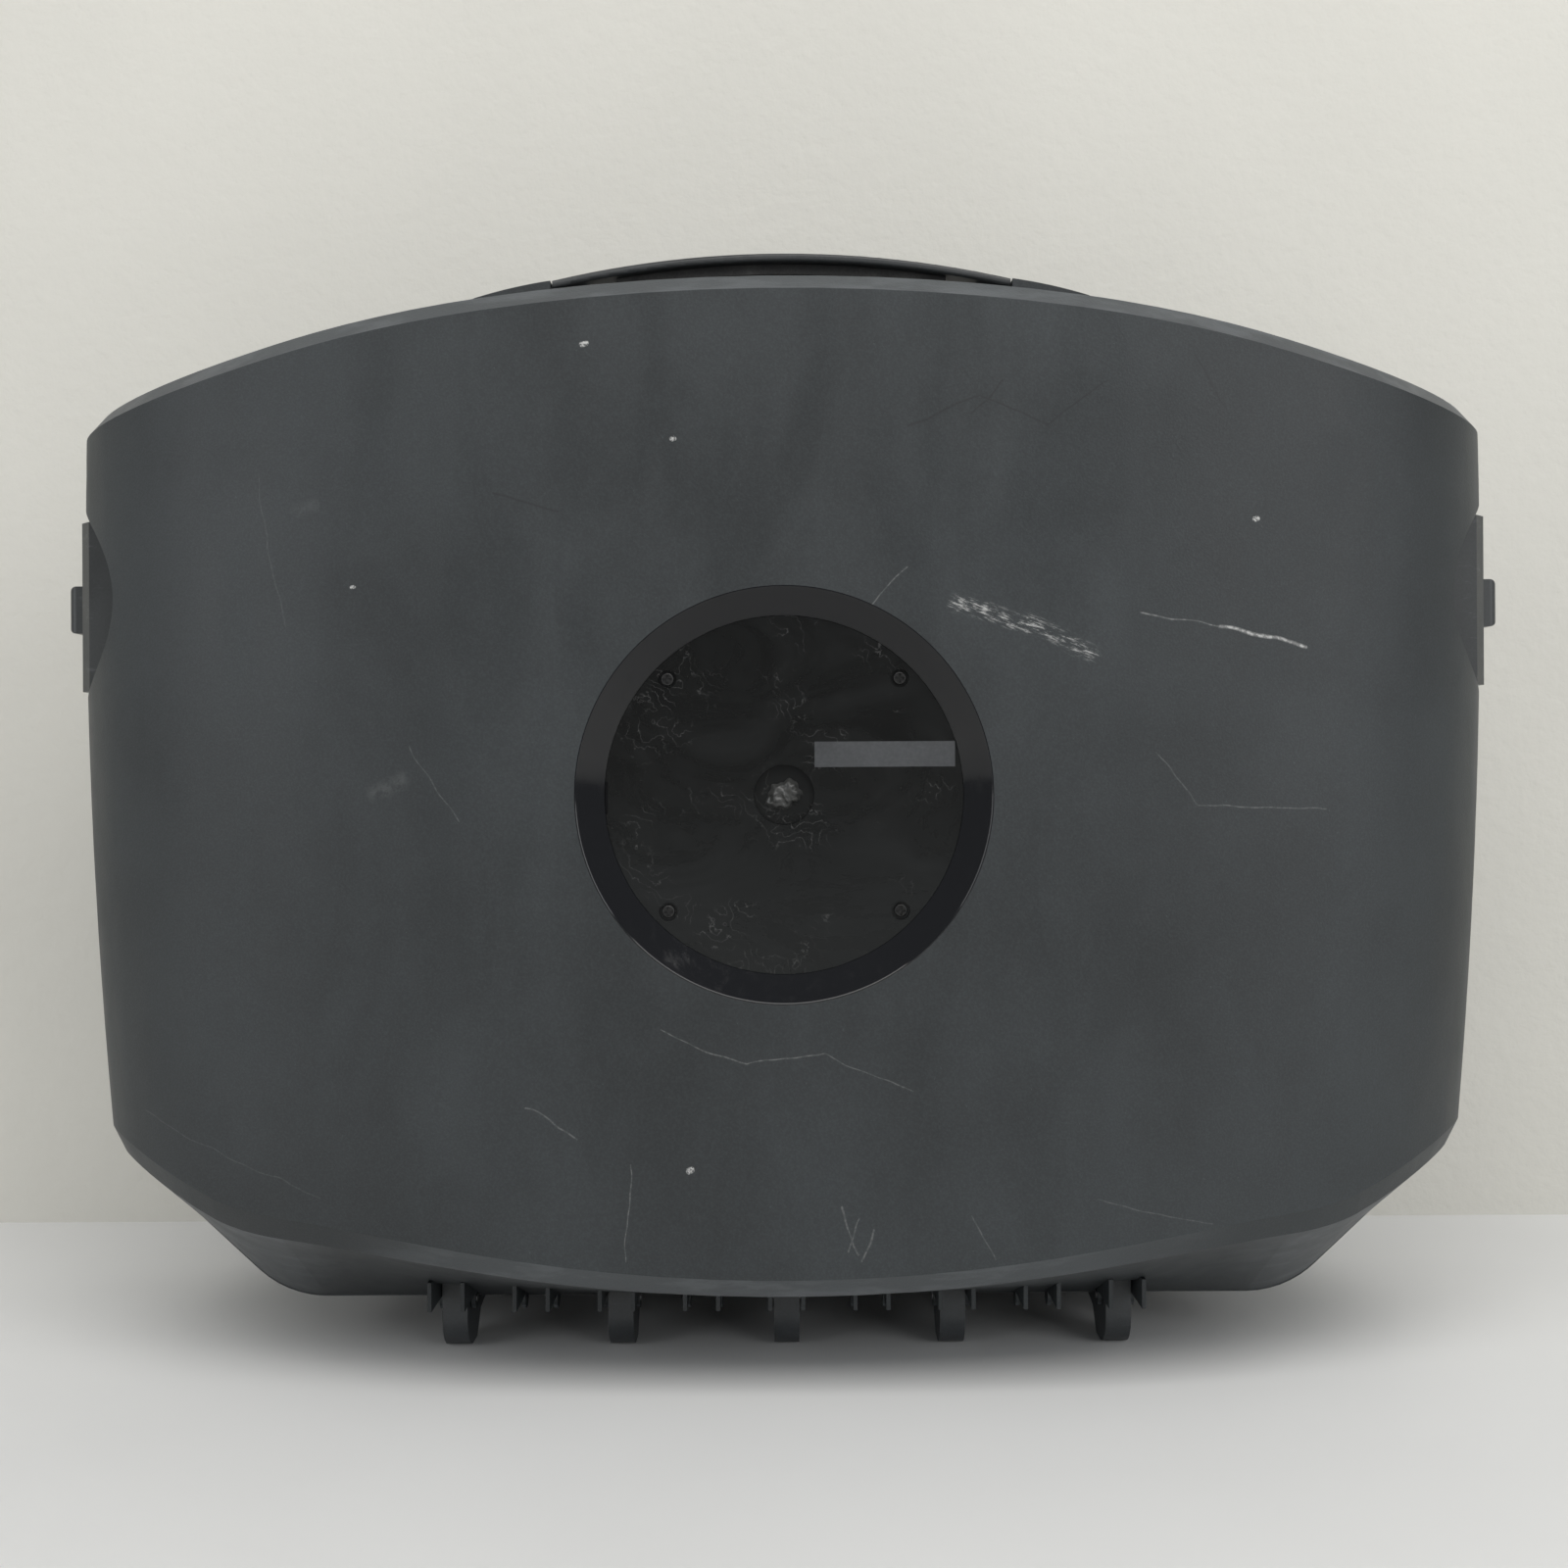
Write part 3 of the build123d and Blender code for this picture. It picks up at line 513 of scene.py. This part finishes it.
materials = {
    "lidShell": shellPlastic("lid_charcoal", True),
    "baseShell": shellPlastic("base_charcoal", False),
    "hook": plainPlastic("hook_charcoal", (0.042, 0.046, 0.049), 0.42, 1100.0, 0.00003, 0.35),
    "band": plainPlastic("band_charcoal", (0.040, 0.043, 0.045), 0.40, 1100.0, 0.00004, 0.5),
    "latch": plainPlastic("latch_charcoal", (0.030, 0.033, 0.034), 0.36, 1200.0, 0.00003, 0.6),
    "gloss": glossBlack("gloss_black"),
    "disc": satinDisc("satin_disc"),
    "satin": plainPlastic("satin_black", (0.012, 0.012, 0.013), 0.42, 1400.0, 0.00003, 0.2),
    "screw": metal("screw_black", (0.045, 0.045, 0.045), 0.40),
    "steel": metal("plain_steel", (0.42, 0.42, 0.43), 0.30, (0.1, 1, 1)),
    "label": plainPlastic("label_grey", (0.050, 0.053, 0.057), 0.48, 900.0, 0.00002, 0.12),
    "rubber": rubber("rubber_black", (0.016, 0.016, 0.016)),
    "foam": foam("foam_grey"),
    "webbing": webbing("webbing_black"),
    "panel": metal("panel_metal", (0.60, 0.61, 0.62), 0.36, (1, 1, 0.1)),
    "screen": glossBlack("screen_face"),
    "board": circuitBoard("board_green"),
    "grille": plainPlastic("grille_black", (0.022, 0.022, 0.024), 0.45, 1500.0, 0.00004, 0.2),
    "key": plainPlastic("key_grey", (0.055, 0.056, 0.06), 0.45, 1500.0, 0.00003, 0.2),
    "lens": lens("green_lens"),
    "cone": rubber("driver_cone", (0.020, 0.020, 0.021)),
    "thread": plainPlastic("thread_grey", (0.045, 0.045, 0.048), 0.8, 2600.0, 0.00005, 0.1),
    "stub": plainPlastic("torn_glue", (0.036, 0.037, 0.036), 0.28, 1800.0, 0.0001, 0.7),
}

dress = {
    "lidShell": ["lid_shell"],
    "baseShell": ["base_shell", "handle_mount_left", "handle_mount_right"],
    "hook": ["latch_hook_left", "latch_hook_right"] + [name for name in nodes if name.startswith("hinge_hook")],
    "band": ["handle_band", "handle_leg_left", "handle_leg_right"],
    "latch": ["latch_housing_left", "latch_housing_right", "latch_button_left", "latch_button_right"],
    "gloss": ["medallion_ring"],
    "disc": ["medallion_plate"],
    "satin": ["lid_frame", "headphone_jacks", "power_inlet", "speaker_left", "speaker_right"],
    "screw": [name for name in nodes if name.startswith("medallion_screw")],
    "steel": ["hinge_pins", "latch_pin_left", "latch_pin_right"],
    "label": ["blank_label"],
    "rubber": ["handle_grip", "seam_gasket"] + [name for name in nodes if "foot" in name],
    "foam": [name for name in nodes if name.startswith("foam_pad")],
    "webbing": ["strap_left", "strap_right"],
    "panel": ["lcd_panel"],
    "screen": ["screen_glass"],
    "board": ["driver_board"],
    "grille": ["speaker_grille_left", "speaker_grille_right"],
    "key": [name for name in nodes if name.startswith("key_")],
    "lens": ["status_light"],
}


def dressNodes():
    for look, names in dress.items():
        for name in names:
            piece = nodes[name]
            slots = piece.data.materials
            if len(slots) == 0:
                slots.append(materials[look])
            for index in range(len(slots)):
                slots[index] = materials[look]


dressNodes()
print("materials on", sum(len(names) for names in dress.values()), "nodes")


def makeMesh(name, points, faces, look, body, slotName):
    mesh = bpy.data.meshes.new(name)
    corners = [tuple(face) for face in np.asarray(faces).tolist()]
    mesh.from_pydata(np.asarray(points, float).tolist(), [], corners)
    shape = bmesh.new()
    shape.from_mesh(mesh)
    bmesh.ops.recalc_face_normals(shape, faces=shape.faces)
    shape.to_mesh(mesh)
    shape.free()
    mesh.polygons.foreach_set("use_smooth", np.full(len(mesh.polygons), True))
    mesh.update()
    mesh.materials.append(materials[look])
    piece = bpy.data.objects.new(name, mesh)
    bpy.context.collection.objects.link(piece)
    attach(piece, body)
    return piece


def gridFaces(rows, columns, wrap=False):
    across = np.arange(columns if wrap else columns - 1)
    row, column = np.meshgrid(np.arange(rows - 1), across, indexing="ij")
    after = (column + 1) % columns
    low, high = row * columns, (row + 1) * columns
    corners = (low + column, low + after, high + after, high + column)
    return np.stack([corner.ravel() for corner in corners], axis=1)


# Two grids, front and back, joined round their border into one closed pad or ribbon.
def closeGrids(front, back):
    rows, columns = front.shape[:2]
    count = rows * columns
    grid = gridFaces(rows, columns)
    index = np.arange(count).reshape(rows, columns)
    border = np.concatenate([index[0, :-1], index[:-1, -1], index[-1, :0:-1], index[:0:-1, 0]])
    after = np.roll(border, -1)
    sides = np.stack([border, after, after + count, border + count], axis=1)
    points = np.concatenate([front.reshape(-1, 3), back.reshape(-1, 3)])
    return points, np.concatenate([grid, grid[:, ::-1] + count, sides])


# A turned surface about an axis along Y, from (radius, y) pairs in metres.
def turned(profile, centreX, centreZ, turns=96):
    profile = np.asarray(profile, float)
    angle = np.linspace(0, 2 * math.pi, turns, endpoint=False)
    radius, depth = profile[:, 0][:, None], profile[:, 1][:, None]
    rings = np.stack(
        [centreX + radius * np.cos(angle), depth + 0 * angle, centreZ + radius * np.sin(angle)], axis=-1
    )
    return rings.reshape(-1, 3), gridFaces(len(profile), turns, wrap=True)


tubeSides = 16


# A bar of oval section along a path that lies flat in X and Z.
def flatTube(path, depthY, halfWide, halfDeep, closed):
    path = np.asarray(path, float)
    before = np.roll(path, 1, axis=0) if closed else np.vstack([path[:1], path[:-1]])
    after = np.roll(path, -1, axis=0) if closed else np.vstack([path[1:], path[-1:]])
    run = after - before
    run /= np.linalg.norm(run, axis=1)[:, None]
    angle = np.linspace(0, 2 * math.pi, tubeSides, endpoint=False)
    wide, deep = halfWide * np.cos(angle), halfDeep * np.sin(angle)
    x = path[:, 0][:, None] - run[:, 1][:, None] * wide
    z = path[:, 1][:, None] + run[:, 0][:, None] * wide
    points = np.stack([x, depthY + deep + 0 * x, z], axis=-1).reshape(-1, 3)
    rows = len(path)
    faces = gridFaces(rows, tubeSides, wrap=True)
    if closed:
        first = np.arange(tubeSides)
        turn = (first + 1) % tubeSides
        last = (rows - 1) * tubeSides
        faces = np.concatenate([faces, np.stack([last + first, last + turn, turn, first], axis=1)])
    return points, faces


def joined(parts):
    points, faces, count = [], [], 0
    for partPoints, partFaces in parts:
        points.append(partPoints)
        faces.append(partFaces + count)
        count += len(partPoints)
    return np.concatenate(points), np.concatenate(faces)


foamLook = {"pitch": 0.017, "step": 0.0017, "hollow": 0.62, "round": 0.005}


def makeFoam(number):
    node = f"foam_pad_{number}"
    near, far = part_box(node)
    x = np.linspace(near.x, far.x, round((far.x - near.x) / foamLook["step"]) + 1)
    z = np.linspace(near.z, far.z, round((far.z - near.z) / foamLook["step"]) + 1)
    x, z = np.meshgrid(x, z, indexing="ij")
    edge = np.minimum.reduce([x - near.x, far.x - x, z - near.z, far.z - z]) / foamLook["round"]
    edge = np.clip(edge, 0, 1)
    rim = 0.3 + 0.7 * np.sqrt(1 - (1 - edge) ** 2)
    turn = 2 * math.pi / foamLook["pitch"]
    crate = 0.5 + 0.5 * np.sin(turn * x) * np.sin(turn * z)
    sag = 0.03 * np.sin(31 * x + 1.3) * np.sin(23 * z + 0.4)
    thick = (far.y - near.y) * rim * (1 - foamLook["hollow"] * (1 - crate) ** 1.3 - 0.03 + sag)
    front = np.stack([x, far.y - thick, z], axis=-1)
    back = np.stack([x, far.y + 0 * x, z], axis=-1)
    points, faces = closeGrids(front, back)
    piece = makeMesh(f"egg_crate_{number}", points, faces, "foam", "base", "foam_grey")
    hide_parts(node)


# A strap stands "lift" off the shell. Each seam is a box of stitches, "seamIn" from the strap's end.
strapLook = {
    "half": 0.0138,
    "thick": 0.0014,
    "lift": 0.0079,
    "stitch": 0.0021,
    "threadWide": 0.00028,
    "threadDeep": 0.00022,
    "seamIn": 0.022,
    "seamHalf": (0.0095, 0.0075),
}
# The ladder buckle: a rounded loop with two bars across it.
buckleLook = {"corner": 0.0055, "halfX": 0.0115, "halfZ": 0.0095, "barHalf": 0.0165, "barZ": 0.005, "above": 0.002}


def strapPath(near, far):
    face = far.y - strapLook["lift"]
    ends = [(far.y - 0.0004, 0.003), (far.y - 0.0030, 0.0008), (face + 0.0012, 0.0018), (face, 0.006)]
    lower = [(y, near.z + z) for y, z in ends]
    upper = [(y, far.z - z) for y, z in reversed(ends)]
    middle = [
        (face + 0.0006 * math.sin(9 * t), near.z + 0.02 + t * (far.z - near.z - 0.04))
        for t in np.linspace(0, 1, 9)
    ]
    knots = np.array(lower + middle + upper)
    reach = np.concatenate([[0], np.cumsum(np.linalg.norm(np.diff(knots, axis=0), axis=1))])
    fine = np.linspace(0, reach[-1], 240)
    y, z = np.interp(fine, reach, knots[:, 0]), np.interp(fine, reach, knots[:, 1])
    soft = np.ones(7) / 7
    y[3:-3], z[3:-3] = np.convolve(y, soft, "valid"), np.convolve(z, soft, "valid")
    return y, z


def makeStitches(centreX, face, centreZ, halfX, halfZ):
    corners = [(-halfX, -halfZ), (halfX, -halfZ), (halfX, halfZ), (-halfX, halfZ)]
    runs = list(zip(corners, corners[1:] + corners[:1]))
    runs += [(corners[0], corners[2]), (corners[1], corners[3])]
    parts = []
    for start, end in runs:
        start, end = np.array(start), np.array(end)
        count = max(2, int(np.linalg.norm(end - start) / (1.5 * strapLook["stitch"])))
        way = (end - start) / np.linalg.norm(end - start)
        for share in (np.arange(count) + 0.5) / count:
            middle = start + (end - start) * share
            half = way * strapLook["stitch"] * 0.5
            path = np.array([middle - half, middle, middle + half]) + (centreX, centreZ)
            parts.append(flatTube(path, face, strapLook["threadWide"], strapLook["threadDeep"], False))
    return joined(parts)


# The ribbon's two faces, each set off the path by half its thickness, which thins at the edges.
def ribbonFaces(centreX, y, z):
    run = np.stack([np.gradient(y), np.gradient(z)], axis=1)
    run /= np.linalg.norm(run, axis=1)[:, None]
    across = np.linspace(-1, 1, 29)
    half = strapLook["thick"] / 2 * (1 - 0.35 * np.abs(across) ** 8)
    x = centreX + strapLook["half"] * across[None, :] + 0 * y[:, None]
    faces = []
    for way in (-1, 1):
        shiftY = way * run[:, 1][:, None] * half[None, :]
        shiftZ = -way * run[:, 0][:, None] * half[None, :]
        faces.append(np.stack([x, y[:, None] + shiftY, z[:, None] + shiftZ], axis=-1))
    return faces


def buckleParts(centreX, level, middleZ):
    angle = np.linspace(0, math.pi / 2, 8)
    corner = np.stack([buckleLook["corner"] * np.cos(angle), buckleLook["corner"] * np.sin(angle)], axis=1)
    loop = []
    for quarter, (sx, sz) in enumerate(((1, 1), (-1, 1), (-1, -1), (1, -1))):
        turn = quarter * math.pi / 2
        spin = np.array([[math.cos(turn), math.sin(turn)], [-math.sin(turn), math.cos(turn)]])
        loop.append(corner @ spin + (sx * buckleLook["halfX"], sz * buckleLook["halfZ"]))
    loop = np.concatenate(loop) + (centreX, middleZ)
    parts = [flatTube(loop, level, 0.0019, 0.0014, True)]
    for dz in (-buckleLook["barZ"], buckleLook["barZ"]):
        bar = [(centreX + dx, middleZ + dz) for dx in (-buckleLook["barHalf"], 0, buckleLook["barHalf"])]
        parts.append(flatTube(bar, level, 0.0017, 0.0013, False))
    return parts


def makeStrap(side):
    node = f"strap_{side}"
    near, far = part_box(node)
    centreX = (near.x + far.x) / 2
    y, z = strapPath(near, far)
    strap = makeMesh(
        f"webbing_{side}", *closeGrids(*ribbonFaces(centreX, y, z)), "webbing", "base", "strap_fabric"
    )
    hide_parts(node)
    face = far.y - strapLook["lift"] - strapLook["thick"] / 2
    seams = [
        makeStitches(centreX, face - 0.0001, level, *strapLook["seamHalf"])
        for level in (near.z + strapLook["seamIn"], far.z - strapLook["seamIn"])
    ]
    stitches = makeMesh(f"stitching_{side}", *joined(seams), "thread", "base", "strap_fabric")
    middleZ = (near.z + far.z) / 2 + buckleLook["above"]
    parts = buckleParts(centreX, near.y + 0.0016, middleZ)
    makeMesh(f"buckle_{side}", *joined(parts), "satin", "base", "strap_fabric")


# The loudspeakers: a dust cap, a ribbed cone and a half-round rubber surround.
def makeCone(side):
    node = f"speaker_cone_{side}"
    near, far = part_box(node)
    outer = (far.x - near.x) / 2
    back, front = near.y, far.y
    dome = [(0.0062 * t, back + 0.0016 + 0.0021 * math.sqrt(1 - t * t)) for t in np.linspace(0.001, 1, 14)]
    cone = [
        (0.0064 + 0.0066 * t, back + 0.0008 + 0.0014 * t**1.6 + 0.00009 * math.sin(26 * t))
        for t in np.linspace(0, 1, 26)
    ]
    roll = [
        (0.0131 + (outer - 0.0136) * t, front - 0.0003 + 0.0013 * math.sin(math.pi * t))
        for t in np.linspace(0, 1, 16)
    ]
    skirt = [(outer, front - 0.0004), (outer, back), (0.0005, back)]
    points, faces = turned(dome + cone + roll + skirt, (near.x + far.x) / 2, (near.z + far.z) / 2)
    piece = makeMesh(f"driver_{side}", points, faces, "cone", "lid", "speaker_cone")
    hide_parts(node)


# What is left in the disc's centre: a torn, crusted stub with an uneven rim.
def makeStub():
    near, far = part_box("medallion_stake")
    rings, turns = 26, 90
    radius = np.linspace(0.02, 1, rings)[:, None]
    angle = np.linspace(0, 2 * math.pi, turns, endpoint=False)[None, :]
    rim = 1 + 0.16 * np.sin(2 * angle + 0.6) + 0.09 * np.sin(5 * angle + 2.1) + 0.05 * np.sin(11 * angle)
    reach = 0.0051 * radius * rim
    random = np.random.default_rng(7)
    crust = np.zeros((rings, turns))
    for wave in range(60):
        kx, kz = random.normal(0, 900 + 22 * wave, 2)
        phase = random.uniform(0, 6.28)
        crust += np.sin(kx * reach * np.cos(angle) + kz * reach * np.sin(angle) + phase) / (6 + 0.35 * wave)
    fall = 1 - radius**5
    y = far.y - fall * (0.0026 + 0.0011 * crust + 0.0008 * np.sin(angle + 0.8) * radius)
    x = near.x / 2 + far.x / 2 + reach * np.cos(angle)
    z = (near.z + far.z) / 2 + reach * np.sin(angle)
    top = np.stack([x, y, z], axis=-1).reshape(-1, 3)
    faces = gridFaces(rings, turns, wrap=True)
    piece = makeMesh("torn_stub", top, faces, "stub", "lid", "glue_grey")
    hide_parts("medallion_stake")


for number in (1, 2, 3):
    makeFoam(number)
for side in ("left", "right"):
    makeStrap(side)
    makeCone(side)
makeStub()
print("soft pieces, drivers and stub made")


stageLook = {
    "wallY": 0.151,
    "wallTop": 2.5,
    "reach": 3,
    "wall": (0.640, 0.630, 0.584),
    "table": (0.775, 0.778, 0.772),
    "overhead": 31.0,
    "right": 15.0,
    "left": 9.0,
    "ambient": 0.23,
}


def stageMaterial(name, colour, grain, depth):
    material, tree, shader = newMaterial(name)
    coords = objectCoords(tree)
    tone = ramp(tree, noise(tree, coords, 3.0, 3.0), 0.3, 0.7, 0.97, 1.03)
    tree.links.new(vectorCalc(tree, "SCALE", colour, tone), shader.inputs["Base Color"])
    shader.inputs["Roughness"].default_value = 0.75
    tree.links.new(bump(tree, noise(tree, coords, grain, 3.0), 0.45, depth), shader.inputs["Normal"])
    # Seen from behind, the surface is clear, so that views from the back aren't blocked.
    clear = tree.nodes.new("ShaderNodeBsdfTransparent")
    either = tree.nodes.new("ShaderNodeMixShader")
    tree.links.new(tree.nodes.new("ShaderNodeNewGeometry").outputs["Backfacing"], either.inputs[0])
    tree.links.new(shader.outputs["BSDF"], either.inputs[1])
    tree.links.new(clear.outputs[0], either.inputs[2])
    output = next(node for node in tree.nodes if node.bl_idname == "ShaderNodeOutputMaterial")
    tree.links.new(either.outputs[0], output.inputs["Surface"])
    return material


def makePlane(name, corners, material):
    mesh = bpy.data.meshes.new(name)
    mesh.from_pydata(corners, [], [(0, 1, 2, 3)])
    mesh.materials.append(material)
    plane = bpy.data.objects.new(name, mesh)
    bpy.context.collection.objects.link(plane)


def makeLight(name, place, aim, size, power, colour):
    data = bpy.data.lights.new(name, "AREA")
    data.shape = "RECTANGLE"
    data.size, data.size_y = size
    data.energy = power
    data.color = colour
    lamp = bpy.data.objects.new(name, data)
    bpy.context.collection.objects.link(lamp)
    lamp.location = place
    lamp.rotation_euler = (Vector(aim) - Vector(place)).to_track_quat("-Z", "Y").to_euler()


def makeStage():
    table = stageMaterial("table_pale", stageLook["table"], 25.0, 0.0004)
    wall = stageMaterial("wall_pale", stageLook["wall"], 150.0, 0.0012)
    back = stageLook["wallY"]
    reach, top = stageLook["reach"], stageLook["wallTop"]
    behind = [(-reach, back, floorZ), (reach, back, floorZ)]
    makePlane("table_top", [(-reach, -reach, floorZ), (reach, -reach, floorZ)] + behind[::-1], table)
    makePlane("back_wall", behind + [(reach, back, top), (-reach, back, top)], wall)
    warm, cool = (1.0, 0.985, 0.96), (0.97, 0.985, 1.0)
    makeLight("overhead", (0.15, -1.2, 1.75), (0, 0, 0.15), (2.6, 1.2), stageLook["overhead"], warm)
    makeLight("right", (1.7, -1.7, 0.85), (0.05, 0, 0.2), (1.6, 1.2), stageLook["right"], cool)
    makeLight("left", (-1.8, -1.4, 0.7), (0, 0, 0.2), (1.2, 1.2), stageLook["left"], cool)
    world = bpy.data.worlds.new("room")
    world.use_nodes = True
    background = world.node_tree.nodes["Background"]
    background.inputs[0].default_value = (0.95, 0.97, 1.0, 1)
    background.inputs[1].default_value = stageLook["ambient"]
    bpy.context.scene.world = world
    bpy.context.scene.view_settings.view_transform = "Standard"


makeStage()
print("stage ready")
